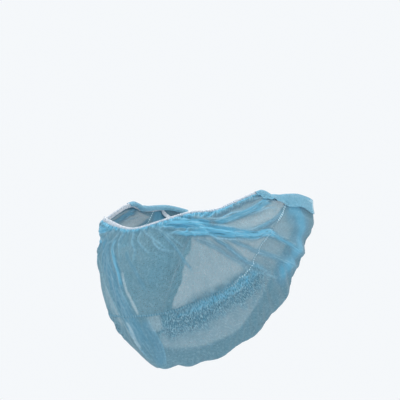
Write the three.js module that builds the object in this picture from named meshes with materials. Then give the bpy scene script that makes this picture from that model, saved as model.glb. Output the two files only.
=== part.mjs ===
// Disposable beard cover, in the shape it takes on a head, in millimetres.
// +Z is up, the wearer faces -Y and the wearer's left is +X. The origin is the middle of the
// elastic, where it lies on the upper lip.
//
// The cloth is one bag with a face panel and a jaw pouch, welded together along the jaw from
// ear to ear. A point of the bag is named by two numbers:
//   along  0 on the middle line, 8 above the wearer's left ear, -8 above the right ear
//   down   0 at the lip elastic, 2 at the jaw weld, 4 at the bottom fold, 5 at the turned-in hem
import * as THREE from 'three';

const CLOTH = 1.2; // thickness of one layer of nonwoven, as a solid
const GAP = 0.3; // clearance between two pieces that touch
const WELD_WIDTH = 2.0;
const WELD_PROUD = 0.2; // how far the weld stands out on each side of the cloth
const ELASTIC_WIDTH = 4.0;
const ELASTIC_THICKNESS = 1.0;
const ELASTIC_SHOWS = 1.5; // how much of its width stands above the cloth's edge
const LIP_PLEAT = 1.5; // height of the small pleats that the elastic draws in
const LIP_PLEAT_FADE = 9; // distance over which they die out
const JAW_PLEAT = 0.9;
const JAW_PLEAT_FADE = 12;
const HEM_PLEAT = 1.4;
const HEM_PLEAT_FADE = 10;
const PUFF = 2.5; // how far the cloth swells out below the elastic
const PUFF_RISE = 7;
const PUFF_FADE = 30;
const SCALLOP = 2.2; // height of the waves of the bottom fold
const SCALLOPS = 7; // waves on each half
const SCALLOP_REACH = 14; // how far they run up the cloth
const HIGHEST_FOLD = 5.2; // where folds cross
const FOLD_START = 4; // folds rise over this distance from the lip
const ELASTIC_CLEAR = 0.8; // between the cloth and the elastic along its inside
const HEM_CLEAR = 1.4; // the same inside the loose hem
const ELASTIC_LEAN = 0.15; // its lower edge leans inward, because the cloth is curved
const FLAP_CLEAR = 0.5; // the folded-over ear flap to the panel under it
const FLAP_FLARE = 0.06; // how much further out the flap stands for each millimetre down

const LAST = 8; // the station above the ear
const WELD = 2;
const FOLD = 4;
const HEM = 5;
const LEVELS = ['lip', 'cheek', 'weld', 'belly', 'fold', 'hem'];

// The wearer's left half. The right half is its mirror image.
const stations = [
  { at: 'middle', lip: [0, 0, 0], cheek: [0, -8, -36], weld: [0, -3, -73],
    belly: [0, 10, -97], fold: [0, 36, -115], hem: [0, 62, -100] },
  { at: 'side of chin', lip: [27, 4, 5], cheek: [36, 1, -33], weld: [31.5, 7.5, -70],
    belly: [21.5, 20.5, -95], fold: [12, 46, -113.5], hem: [24, 66, -98] },
  { at: 'corner of mouth', lip: [48.5, 15.5, 11.5], cheek: [57, 18.5, -26], weld: [51, 27, -60],
    belly: [40, 39.5, -89], fold: [26, 58, -111], hem: [40, 76, -90] },
  { at: 'cheek', lip: [61.5, 31.5, 14], cheek: [70.5, 36.5, -13], weld: [65.5, 45.5, -49],
    belly: [57, 63.5, -77], fold: [45, 77, -99.5], hem: [48, 90, -77] },
  { at: 'jaw', lip: [67.5, 49, 21], cheek: [75.5, 56, -3], weld: [73, 61, -35],
    belly: [68, 84, -62], fold: [56, 104, -79], hem: [53, 104, -56] },
  { at: 'corner of jaw', lip: [71, 64, 27.5], cheek: [77.5, 71, 6], weld: [76, 73, -15.5],
    belly: [75, 103, -36], fold: [64, 127, -51], hem: [56, 119, -34] },
  { at: 'ear lobe', lip: [73, 77, 31.5], cheek: [78, 84, 16], weld: [77.5, 90, 2.5],
    belly: [78, 118, -10], fold: [66.5, 142.5, -20], hem: [58, 134, -10] },
  { at: 'ear', lip: [74, 85.5, 31], cheek: [77.5, 95, 23], weld: [77, 105, 18],
    belly: [79, 128, 14.5], fold: [70, 157, 11], hem: [61, 147, 13] },
  { at: 'above the ear', lip: [74.5, 93, 29.5], cheek: [75.5, 103, 29.5], weld: [76, 113, 30.5],
    belly: [75, 131, 32], fold: [70.5, 155, 28.5], hem: [63, 146, 26] },
];

// Long folds that stand out of the cloth. Each runs through three points given as
// [along, down]; height and width are those of its rounded ridge. A fold on both sides is
// repeated on the wearer's right.
const folds = [
  { name: 'twisted rope', height: 4.0, width: 3.4, both: true,
    from: [2.15, 0.3], via: [3.75, 0.98], to: [5.65, 1.78] },
  { name: 'rope over the ear', height: 2.6, width: 3.6, both: true,
    from: [5.45, 1.65], via: [5.95, 2.55], to: [6.15, 4.2] },
  { name: 'bundle under the rope', height: 3.0, width: 3.2,
    from: [0.95, 0.26], via: [1.7, 0.42], to: [2.65, 0.58] },
  { name: 'diagonal to the jaw', height: 2.2, width: 3.6, both: true,
    from: [2.35, 0.5], via: [3.15, 1.2], to: [4.3, 1.86] },
  { name: 'branch to the temple', height: 2.4, width: 3.4, both: true,
    from: [2.4, 0.28], via: [3.9, 0.43], to: [6.1, 0.62] },
  { name: 'upper lid of the window', height: 1.6, width: 3.2,
    from: [3.2, 0.5], via: [4.9, 0.68], to: [6.8, 1.05] },
  { name: 'lower lid of the window', height: 1.9, width: 3.2,
    from: [3.8, 0.9], via: [5.4, 1.28], to: [7.0, 1.84] },
  { name: 'jaw fold', height: 1.8, width: 4.0, both: true,
    from: [3.2, 1.0], via: [4.8, 2.0], to: [5.6, 3.5] },
  { name: 'second jaw fold', height: 1.5, width: 4.0,
    from: [3.4, 1.5], via: [4.35, 2.2], to: [4.9, 3.05] },
  { name: 'long cheek crease', height: 1.8, width: 3.2, both: true,
    from: [0.92, 0.2], via: [1.37, 0.65], to: [1.82, 1.35] },
  { name: 'pleat under the nose', height: 1.5, width: 2.8,
    from: [0.0, 0.0], via: [0.1, 0.3], to: [0.25, 0.85] },
  { name: 'bow over the lip', height: 1.4, width: 3.0,
    from: [0.4, 0.35], via: [0.95, 0.6], to: [1.6, 0.85] },
  { name: 'mouth fold', height: 1.8, width: 3.4,
    from: [-0.4, 0.3], via: [0.1, 0.8], to: [0.4, 1.45] },
  { name: 'front fold', height: 2.2, width: 3.6,
    from: [-0.35, 0.5], via: [-0.1, 1.4], to: [0.25, 2.2] },
  { name: 'chin fold', height: 2.0, width: 4.0,
    from: [-0.35, 2.0], via: [-0.05, 2.85], to: [0.4, 3.9] },
  { name: 'bottom fold', height: 1.8, width: 4.5,
    from: [0.45, 2.4], via: [0.7, 3.2], to: [0.5, 4.1] },
  { name: 'far cheek fold', height: 2.6, width: 3.6,
    from: [-0.95, 0.0], via: [-0.9, 0.6], to: [-0.6, 1.7] },
  { name: 'second far cheek fold', height: 2.2, width: 3.2,
    from: [-0.6, 0.05], via: [-0.5, 0.7], to: [-0.15, 1.75] },
  { name: 'far jaw fold', height: 2.2, width: 4.0,
    from: [-1.0, 1.2], via: [-0.7, 1.75], to: [-0.35, 2.7] },
];
const FOLD_STEPS = 8; // straight pieces that stand for one fold's line

function cloth(name, color, roughness) {
  return new THREE.MeshStandardMaterial({ name, color, roughness, metalness: 0 });
}
const blueCloth = cloth('nonwoven', 0x86b9d3, 0.85);
const weldedCloth = cloth('weld', 0xb9d6e4, 0.6);
const whiteElastic = cloth('elastic', 0xeceff2, 0.9);

const { clamp, lerp, smoothstep } = THREE.MathUtils;
const vector = ([x, y, z]) => new THREE.Vector3(x, y, z);
const smoothCurve = (points, closed = false) => new THREE.CatmullRomCurve3(points, closed, 'centripetal');

// ---- the smooth bag ----

// One rail for each level, from the right ear round the front to the left ear.
const rails = Object.fromEntries(LEVELS.map((level) => {
  const left = stations.map((station) => vector(station[level]));
  const right = left.slice(1).reverse().map((p) => new THREE.Vector3(-p.x, p.y, p.z));
  return [level, smoothCurve([...right, ...left])];
}));

// A spoke crosses the bag from the lip to the hem at one place along.
function spoke(along) {
  const t = (along + LAST) / (2 * LAST);
  return smoothCurve(LEVELS.map((level) => rails[level].getPoint(t)));
}

const smoothPoint = (along, down) => spoke(along).getPoint(down / HEM);

// The outward normal. At the rim it is taken a little inside, because the rim's corners are flat.
function outward(along, down) {
  const step = 0.02;
  const a = clamp(along, -LAST + 0.3, LAST - 0.3);
  const d = clamp(down, 0.12, HEM - 0.06);
  const across = smoothPoint(a + step, d).sub(smoothPoint(a - step, d));
  const downward = smoothPoint(a, d + step).sub(smoothPoint(a, d - step));
  return downward.cross(across).normalize();
}

// ---- folds and pleats ----

const mirrored = ([along, down]) => [-along, down];
const allFolds = folds.flatMap((fold) => (fold.both
  ? [fold, { ...fold, from: mirrored(fold.from), via: mirrored(fold.via), to: mirrored(fold.to) }]
  : [fold]));

const foldLines = allFolds.map(({ from, via, to, height, width }) => {
  const bow = new THREE.QuadraticBezierCurve(
    new THREE.Vector2(...from),
    new THREE.Vector2(2 * via[0] - (from[0] + to[0]) / 2, 2 * via[1] - (from[1] + to[1]) / 2),
    new THREE.Vector2(...to),
  );
  return { points: bow.getPoints(FOLD_STEPS).map((p) => smoothPoint(p.x, p.y)), height, width };
});

// Height of one fold at a point: a rounded ridge that tapers to nothing at its two ends.
function ridge({ points, height, width }, point) {
  const piece = new THREE.Line3();
  const nearest = new THREE.Vector3();
  let best = { distance: Infinity, share: 0 };
  for (let i = 0; i < FOLD_STEPS; i += 1) {
    piece.set(points[i], points[i + 1]);
    const t = piece.closestPointToPointParameter(point, true);
    const distance = piece.at(t, nearest).distanceTo(point);
    if (distance < best.distance) best = { distance, share: (i + t) / FOLD_STEPS };
  }
  const taper = Math.sqrt(Math.sin(Math.PI * best.share));
  return height * taper * Math.exp(-((best.distance / width) ** 2));
}

// Small pleats stand out on every second column of the mesh, which spaces them by the elastic.
function surfacePoint(along, down, isPleat) {
  const line = spoke(along);
  const point = line.getPoint(down / HEM);
  const toLevel = (level) => point.distanceTo(line.getPoint(level / HEM));
  const toLip = toLevel(0);
  const toHem = toLevel(HEM);
  const toEar = LAST - Math.abs(along);
  const calmAtEar = smoothstep(toEar, 2.2, 3.6);
  const fadeFrom = (distance, fade) => calmAtEar * Math.exp(-distance / fade);

  const folded = foldLines.reduce((sum, fold) => sum + ridge(fold, point), 0);
  let height = Math.min(folded, HIGHEST_FOLD) * smoothstep(toLip, 0, FOLD_START);
  if (isPleat) {
    height += LIP_PLEAT * fadeFrom(toLip, LIP_PLEAT_FADE) + HEM_PLEAT * fadeFrom(toHem, HEM_PLEAT_FADE);
    if (down > WELD) height += JAW_PLEAT * fadeFrom(toLevel(WELD), JAW_PLEAT_FADE);
  }
  if (down < WELD) height += PUFF * (1 - Math.exp(-toLip / PUFF_RISE)) * fadeFrom(toLip, PUFF_FADE);

  const wave = 0.5 * Math.sin((along / LAST) * SCALLOPS * 2 * Math.PI);
  const fadeAtEnds = smoothstep(toEar, 0.7, 1.8) * smoothstep(toHem, 3, 12);
  height += SCALLOP * wave * fadeAtEnds * Math.exp(-((toLevel(FOLD) / SCALLOP_REACH) ** 2));
  return point.addScaledVector(outward(along, down), height);
}

// ---- closed solids ----

// A closed skin round two grids of points, outer and inner, each a list of columns.
function solidBetween(outer, inner, ring = false) {
  const columns = outer.length;
  const rows = outer[0].length;
  const positions = [...outer.flat(), ...inner.flat()].flatMap((p) => [p.x, p.y, p.z]);
  const out = (i, j) => (i % columns) * rows + j;
  const back = (i, j) => columns * rows + out(i, j);
  const index = [];
  const quad = (a, b, c, d) => index.push(a, b, c, a, c, d);
  const spans = ring ? columns : columns - 1;
  for (let i = 0; i < spans; i += 1) {
    const isRightHalf = i < spans / 2; // its faces are split along the mirrored diagonal
    for (let j = 0; j < rows - 1; j += 1) {
      const front = [out(i, j), out(i, j + 1), out(i + 1, j + 1), out(i + 1, j)];
      const rear = [back(i, j), back(i + 1, j), back(i + 1, j + 1), back(i, j + 1)];
      if (isRightHalf) {
        front.push(front.shift());
        rear.push(rear.shift());
      }
      quad(...front);
      quad(...rear);
    }
    quad(out(i, 0), out(i + 1, 0), back(i + 1, 0), back(i, 0));
    quad(out(i, rows - 1), back(i, rows - 1), back(i + 1, rows - 1), out(i + 1, rows - 1));
  }
  if (!ring) {
    const end = columns - 1;
    for (let j = 0; j < rows - 1; j += 1) {
      quad(out(0, j), back(0, j), back(0, j + 1), out(0, j + 1));
      quad(out(end, j), out(end, j + 1), back(end, j + 1), back(end, j));
    }
  }
  const geometry = new THREE.BufferGeometry();
  geometry.setAttribute('position', new THREE.Float32BufferAttribute(positions, 3));
  geometry.setIndex(index);
  geometry.computeVertexNormals();
  return geometry;
}

function mesh(name, geometry, material) {
  const piece = new THREE.Mesh(geometry, material);
  piece.name = name;
  return piece;
}

// ---- cloth panels and the weld between them ----

const COLUMNS = 72; // spaces between mesh columns: two for each small pleat
const alongs = Array.from({ length: COLUMNS + 1 }, (_, i) => (
  rails.lip.getUtoTmapping(i / COLUMNS) * 2 * LAST - LAST));

// How much of one unit of down a length in millimetres is, next to the weld.
function shareAtWeld(along, length) {
  const reach = 0.05;
  const span = smoothPoint(along, WELD + reach).distanceTo(smoothPoint(along, WELD - reach));
  return (length / span) * 2 * reach;
}

const faceRows = [0, 0.05, 0.12, 0.21, 0.32, 0.45, 0.6, 0.77, 0.95, 1.15, 1.4, 1.7, WELD];
const pouchRows = [WELD, 2.15, 2.35, 2.6, 2.85, 3.1, 3.35, 3.6, 3.8, 3.92, FOLD,
  4.08, 4.2, 4.45, 4.75, HEM];

// The rows run from one edge to the weld, and stop short of it by the gap.
function panel(name, rows) {
  const columns = alongs.map((along, i) => {
    const margin = shareAtWeld(along, WELD_WIDTH / 2 + GAP);
    return rows.map((row) => {
      const down = row === WELD ? WELD + (rows[0] === WELD ? margin : -margin) : row;
      return { point: surfacePoint(along, down, i % 2 === 1), normal: outward(along, down) };
    });
  });
  const outer = columns.map((column) => column.map(({ point }) => point));
  const inner = columns.map((column) => column.map(({ point, normal }) => (
    point.clone().addScaledVector(normal, -CLOTH))));
  return mesh(name, solidBetween(outer, inner), blueCloth);
}

function jawWeld() {
  const sides = alongs.map((along) => {
    const half = shareAtWeld(along, WELD_WIDTH / 2);
    const normal = outward(along, WELD);
    const lift = surfacePoint(along, WELD, false).distanceTo(smoothPoint(along, WELD));
    return [WELD - half, WELD + half].map((down) => {
      const point = smoothPoint(along, down);
      return {
        outer: point.clone().addScaledVector(normal, lift + WELD_PROUD),
        inner: point.clone().addScaledVector(normal, lift - CLOTH - WELD_PROUD),
      };
    });
  });
  const outer = sides.map((side) => side.map((edge) => edge.outer));
  const inner = sides.map((side) => side.map((edge) => edge.inner));
  return mesh('jaw_weld', solidBetween(outer, inner), weldedCloth);
}

// ---- the rim: places along the cloth's edge, each with the way out of and into the cloth ----

const steps = (from, to, count) => Array.from({ length: count + 1 }, (_, i) => (
  lerp(from, to, i / count)));

const lipEdge = (from, to, count) => steps(from, to, count).map((along) => [along, 0]);
const topEdge = (side, from, to, count) => steps(from, to, count).map((down) => [side * LAST, down]);
const hemEdge = (from, to, count) => steps(from, to, count).map((along) => [along, HEM]);

// The edge runs with the cloth on its right: lip from right to left, hem from left to right.
function rimPlaces(edge) {
  const points = edge.map(([along, down]) => smoothPoint(along, down));
  return points.map((place, i) => {
    const before = points[Math.max(i - 1, 0)];
    const after = points[Math.min(i + 1, points.length - 1)];
    const tangent = after.clone().sub(before).normalize();
    const normal = outward(...edge[i]);
    return { place, normal, into: tangent.cross(normal).normalize() };
  });
}

// The elastic is one whole loop. It shows on the lip, runs under the ear flaps along the top
// edge, drops behind the ears and crosses under the chin inside the hem.
const ELASTIC_STEPS = 160;
function elasticLoop() {
  const besideCloth = (clear) => ({ place, normal, into }) => ({
    centre: place.clone()
      .addScaledVector(normal, -(CLOTH + clear + ELASTIC_THICKNESS / 2))
      .addScaledVector(into, ELASTIC_WIDTH / 2 - ELASTIC_SHOWS),
    across: into.clone().addScaledVector(normal, -ELASTIC_LEAN),
  });
  const places = [
    ...rimPlaces([...lipEdge(-LAST, LAST, 32), ...topEdge(1, 0.5, 2.5, 4), [7.8, 2.7]])
      .map(besideCloth(ELASTIC_CLEAR)),
    ...rimPlaces(hemEdge(6.7, -6.7, 30)).map(besideCloth(HEM_CLEAR)),
    ...rimPlaces([[-7.8, 2.7], ...topEdge(-1, 2.5, 0.5, 4)]).map(besideCloth(ELASTIC_CLEAR)),
  ];
  const centreLine = smoothCurve(places.map(({ centre }) => centre), true);
  const acrossLine = smoothCurve(places.map(({ across }) => across), true);
  const outer = [];
  const inner = [];
  for (let i = 0; i < ELASTIC_STEPS; i += 1) {
    const t = centreLine.getUtoTmapping(i / ELASTIC_STEPS);
    const centre = centreLine.getPoint(t);
    const across = acrossLine.getPoint(t).normalize();
    const out = across.clone().cross(centreLine.getTangent(t)).normalize();
    const half = across.multiplyScalar(ELASTIC_WIDTH / 2);
    const edges = [centre.clone().sub(half), centre.clone().add(half)];
    outer.push(edges.map((p) => p.clone().addScaledVector(out, ELASTIC_THICKNESS / 2)));
    inner.push(edges.map((p) => p.clone().addScaledVector(out, -ELASTIC_THICKNESS / 2)));
  }
  return mesh('elastic_loop', solidBetween(outer, inner, true), whiteElastic);
}

// ---- ear flaps: the top edge of the cloth, turned over the elastic and laid down outside ----

const FLAP_STEPS = 22;
const FLAP_FRONT = 5.7; // where it starts, along the lip edge
const FLAP_REAR = 3.8; // where it ends, down the top edge
const FLAP_DEPTHS = [5, 5.5, 5, 5.5, 8.5, 13]; // from front to rear, evenly spaced
const ROUNDED = 0.6; // its top corners are drawn in by this share of the cloth's thickness

function flapDepth(share) {
  const at = share * (FLAP_DEPTHS.length - 1);
  const i = Math.min(Math.floor(at), FLAP_DEPTHS.length - 2);
  return lerp(FLAP_DEPTHS[i], FLAP_DEPTHS[i + 1], at - i);
}

// The flap's section, from its short leg behind the elastic, over the top, to its lower edge. A
// corner is [out from the cloth, down from the cloth's edge].
const LEG_BEHIND = CLOTH + ELASTIC_CLEAR + ELASTIC_THICKNESS + 3 * GAP;
const LEG_LENGTH = 1.5;
const TOP = ELASTIC_SHOWS + 4 * GAP;
const FRONT_LEG = [0, 0.25, 0.5, 0.75, 1]; // shares of its depth

function flapSection(depth) {
  const frontLeg = FRONT_LEG.map((share) => (
    [FLAP_CLEAR + FLAP_FLARE * share * depth, share * depth]));
  return {
    inside: [[-LEG_BEHIND, LEG_LENGTH], [-LEG_BEHIND, -TOP], [FLAP_CLEAR, -TOP], ...frontLeg],
    outside: [
      [-LEG_BEHIND - CLOTH, LEG_LENGTH],
      [-LEG_BEHIND - ROUNDED * CLOTH, -TOP - CLOTH],
      [FLAP_CLEAR + ROUNDED * CLOTH, -TOP - CLOTH],
      ...frontLeg.map(([out, down]) => [out + CLOTH, down]),
    ],
  };
}

function earFlap(name, side) {
  const edge = [
    ...lipEdge(side * FLAP_FRONT, side * LAST, FLAP_STEPS / 2),
    ...topEdge(side, 0, FLAP_REAR, FLAP_STEPS / 2).slice(1),
  ];
  const path = rimPlaces(side > 0 ? edge : edge.reverse());
  const columns = path.map(({ place, normal, into }, i) => {
    const share = i / (path.length - 1);
    const section = flapSection(flapDepth(side > 0 ? share : 1 - share));
    const lay = ([out, down]) => (
      place.clone().addScaledVector(normal, out).addScaledVector(into, down));
    return { outer: section.outside.map(lay), inner: section.inside.map(lay) };
  });
  const outer = columns.map((column) => column.outer);
  const inner = columns.map((column) => column.inner);
  return mesh(name, solidBetween(outer, inner), blueCloth);
}

const beardCover = new THREE.Group();
beardCover.add(
  panel('face_panel', faceRows),
  panel('jaw_pouch', pouchRows),
  jawWeld(),
  elasticLoop(),
  earFlap('ear_flap_left', 1),
  earFlap('ear_flap_right', -1),
);

export default beardCover;
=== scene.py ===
"""A disposable beard cover of blue nonwoven, in the shape that it takes on a head.

+Z is up, the wearer faces -Y and the wearer's left is +X. The origin is the middle of the
elastic, where it lies on the upper lip. Everything is in metres.
"""

import math

import bpy
import numpy as np
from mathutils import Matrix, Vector


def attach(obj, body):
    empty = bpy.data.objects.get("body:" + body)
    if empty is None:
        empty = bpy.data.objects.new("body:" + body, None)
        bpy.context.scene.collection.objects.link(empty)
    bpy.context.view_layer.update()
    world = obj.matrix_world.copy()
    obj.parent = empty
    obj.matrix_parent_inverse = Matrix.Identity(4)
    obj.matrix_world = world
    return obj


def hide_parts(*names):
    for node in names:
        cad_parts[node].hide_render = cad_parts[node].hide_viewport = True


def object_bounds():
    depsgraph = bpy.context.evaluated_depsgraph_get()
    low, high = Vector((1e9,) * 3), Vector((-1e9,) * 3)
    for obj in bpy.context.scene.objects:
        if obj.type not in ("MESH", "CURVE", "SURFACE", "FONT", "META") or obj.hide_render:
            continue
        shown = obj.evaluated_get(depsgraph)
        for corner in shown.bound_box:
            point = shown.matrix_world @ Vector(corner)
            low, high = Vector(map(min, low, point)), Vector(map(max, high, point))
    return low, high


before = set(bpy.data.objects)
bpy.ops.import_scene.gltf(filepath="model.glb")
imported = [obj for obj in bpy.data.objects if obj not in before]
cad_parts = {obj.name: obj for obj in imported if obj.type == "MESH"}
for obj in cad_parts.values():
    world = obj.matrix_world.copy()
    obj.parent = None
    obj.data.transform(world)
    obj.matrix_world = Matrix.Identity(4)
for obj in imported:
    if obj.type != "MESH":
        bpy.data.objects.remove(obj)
cad_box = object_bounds()
bpy.ops.object.select_all(action="DESELECT")

# ----------------------------------------
# Camera: a long lens to the wearer's left of the face and a little below it.
# It looks past the lip, at the middle of the head that would wear the cover.
# ----------------------------------------
CAMERA_AZIMUTH = math.radians(40)
CAMERA_ELEVATION = math.radians(-6)
CAMERA_DISTANCE = 1.5
FRAME_WIDTH = 0.3333  # what the picture takes in at the lip's distance
LIP_LEFT_OF_MIDDLE = 0.0558
LIP_BELOW_MIDDLE = 0.0242
SENSOR = 36  # millimetres

to_right = Vector((math.cos(CAMERA_AZIMUTH), math.sin(CAMERA_AZIMUTH), 0))
away = Vector((
    -math.sin(CAMERA_AZIMUTH) * math.cos(CAMERA_ELEVATION),
    math.cos(CAMERA_AZIMUTH) * math.cos(CAMERA_ELEVATION),
    -math.sin(CAMERA_ELEVATION),
))
upward = to_right.cross(away)
looked_at = to_right * LIP_LEFT_OF_MIDDLE + upward * LIP_BELOW_MIDDLE
bpy.ops.object.camera_add(
    location=looked_at - away * CAMERA_DISTANCE,
    rotation=away.to_track_quat("-Z", "Y").to_euler(),
)
camera = bpy.context.object
camera.name = "photographer"
camera.data.sensor_width = SENSOR
camera.data.lens = SENSOR * CAMERA_DISTANCE / FRAME_WIDTH
camera.data.clip_start = 0.05
bpy.context.scene.camera = camera


# ----------------------------------------
# The bag of cloth. It is one bag of thin spunbond, cut wider than the head and drawn in by
# the elastic. A point of it is named by along, 0 on the middle line and 8 above the left
# ear, and down, 0 at the lip, 2 at the jaw weld, 4 at the bottom fold and 5 at the hem.
# ----------------------------------------
MM = 0.001
LAST = 8  # along, above the ear
LIP, WELD, BOTTOM, HEM = 0, 2, 4, 5  # down
STATIONS = (
    # name, lip, cheek, weld, belly, bottom fold, hem, in millimetres on the left half
    ("middle", (0, 0, 0), (0, -8, -36), (0, -3, -73), (0, 10, -97), (0, 36, -115), (0, 62, -100)),
    ("side of chin", (27, 4, 5), (36, 1, -33), (31.5, 7.5, -70), (21.5, 20.5, -95),
     (12, 46, -113.5), (24, 66, -98)),
    ("corner of mouth", (48.5, 15.5, 11.5), (57, 18.5, -26), (51, 27, -60), (40, 39.5, -89),
     (26, 58, -111), (40, 76, -90)),
    ("cheek", (61.5, 31.5, 14), (70.5, 36.5, -13), (65.5, 45.5, -49), (57, 63.5, -77),
     (45, 77, -99.5), (48, 90, -77)),
    ("jaw", (67.5, 49, 21), (75.5, 56, -3), (73, 61, -35), (68, 84, -62), (56, 104, -79),
     (53, 104, -56)),
    ("corner of jaw", (71, 64, 27.5), (77.5, 71, 6), (76, 73, -15.5), (75, 103, -36),
     (64, 127, -51), (56, 119, -34)),
    ("ear lobe", (73, 77, 31.5), (78, 84, 16), (77.5, 90, 2.5), (78, 118, -10),
     (66.5, 142.5, -20), (58, 134, -10)),
    ("ear", (74, 85.5, 31), (77.5, 95, 23), (77, 105, 18), (79, 128, 14.5), (70, 157, 11),
     (61, 147, 13)),
    ("above the ear", (74.5, 93, 29.5), (75.5, 103, 29.5), (76, 113, 30.5), (75, 131, 32),
     (70.5, 155, 28.5), (63, 146, 26)),
)
left_half = np.array([row[1:] for row in STATIONS], float) * MM
right_half = left_half[:0:-1] * (-1, 1, 1)
stations = np.concatenate([right_half, left_half])


def norm(vectors):
    return np.linalg.norm(vectors, axis=-1)


def unit(vectors):
    return vectors / np.maximum(np.linalg.norm(vectors, axis=-1, keepdims=True), 1e-12)


def smoothstep(values, low, high):
    share = np.clip((values - low) / (high - low), 0, 1)
    return share * share * (3 - 2 * share)


def within(values, rise, risen, fall, fallen):
    """0 outside, 1 inside, and smooth between."""
    return smoothstep(values, rise, risen) * (1 - smoothstep(values, fall, fallen))


def blurred(values, times):
    for _ in range(times):
        values = (
            values
            + np.roll(values, 1, 0) + np.roll(values, -1, 0)
            + np.roll(values, 1, 1) + np.roll(values, -1, 1)
        ) / 5
    return values


def hill(values, width):
    """1 where the values are 0, and fading to both sides over about the width."""
    return np.exp(-((values / width) ** 2))


def running(points, axis):
    """How far each point of a grid is from its start, measured along one axis of the grid."""
    step = norm(np.diff(points, axis=axis))
    return np.insert(np.cumsum(step, axis=axis), 0, 0, axis=axis)


def smooth_line(points, at, each=()):
    """A centripetal curve through points, read at numbers that count those points."""
    ends = 2 * points[0] - points[1], 2 * points[-1] - points[-2]
    points = np.concatenate([ends[0][None], points, ends[1][None]])
    first = np.clip(np.floor(at).astype(int), 0, len(points) - 4)
    p0, p1, p2, p3 = (points[(first + k, *each)] for k in range(4))
    d0, d1, d2 = (
        np.maximum(np.linalg.norm(b - a, axis=-1, keepdims=True), 1e-9) ** 0.5
        for a, b in ((p0, p1), (p1, p2), (p2, p3))
    )
    leave = ((p1 - p0) / d0 - (p2 - p0) / (d0 + d1) + (p2 - p1) / d1) * d1
    arrive = ((p2 - p1) / d1 - (p3 - p1) / (d1 + d2) + (p3 - p2) / d2) * d1
    t = (at - first).reshape(at.shape + (1,) * (p1.ndim - at.ndim))
    return (
        p1
        + leave * t
        + (3 * (p2 - p1) - 2 * leave - arrive) * t**2
        + (2 * (p1 - p2) + leave + arrive) * t**3
    )


def bag(along, down):
    """The smooth bag, without folds, at pairs of along and down."""
    along, down = np.broadcast_arrays(np.asarray(along, float), np.asarray(down, float))
    spokes = smooth_line(stations, along.ravel() + LAST).transpose(1, 0, 2)
    places = smooth_line(spokes, down.ravel(), each=(np.arange(along.size),))
    return places.reshape(along.shape + (3,))


def outward(along, down):
    """The outward normal, taken a little inside the rim, where the bag's corners are flat."""
    step, from_ear, from_lip, from_hem = 0.02, 0.3, 0.12, 0.06
    along = np.clip(along, from_ear - LAST, LAST - from_ear)
    down = np.clip(down, from_lip, HEM - from_hem)
    across = bag(along + step, down) - bag(along - step, down)
    downward = bag(along, down + step) - bag(along, down - step)
    return unit(np.cross(downward, across))


# The grid that the cloth is worked out on: even steps of the lip, finer rows near it.
COLUMNS = 400
LIP_ROWS, FACE_ROWS, JAW_ROWS = 14, 62, 100
LIP_BAND = 0.3

fine = np.linspace(-LAST, LAST, 2001)
lip_run = running(bag(fine, LIP), 0)
column_at = np.interp(np.linspace(0, lip_run[-1], COLUMNS + 1), lip_run, fine)
row_at = np.concatenate([
    np.linspace(0, LIP_BAND, LIP_ROWS, endpoint=False),
    np.linspace(LIP_BAND, WELD, FACE_ROWS, endpoint=False),
    np.linspace(WELD, HEM, JAW_ROWS),
])
weld_row = LIP_ROWS + FACE_ROWS
down, along = np.meshgrid(row_at, column_at, indexing="ij")
smooth = bag(along, down)
normal = outward(along, down)


def to_level(level):
    """How far each point of the grid is from one level, straight down its own spoke."""
    return norm(smooth - bag(along, level))


to_lip, to_weld, to_bottom, to_hem = (to_level(k) for k in (LIP, WELD, BOTTOM, HEM))
off_middle = np.abs(along)
to_ear = LAST - off_middle
calm_at_ear = smoothstep(to_ear, 0.4, 2.2)

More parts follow.
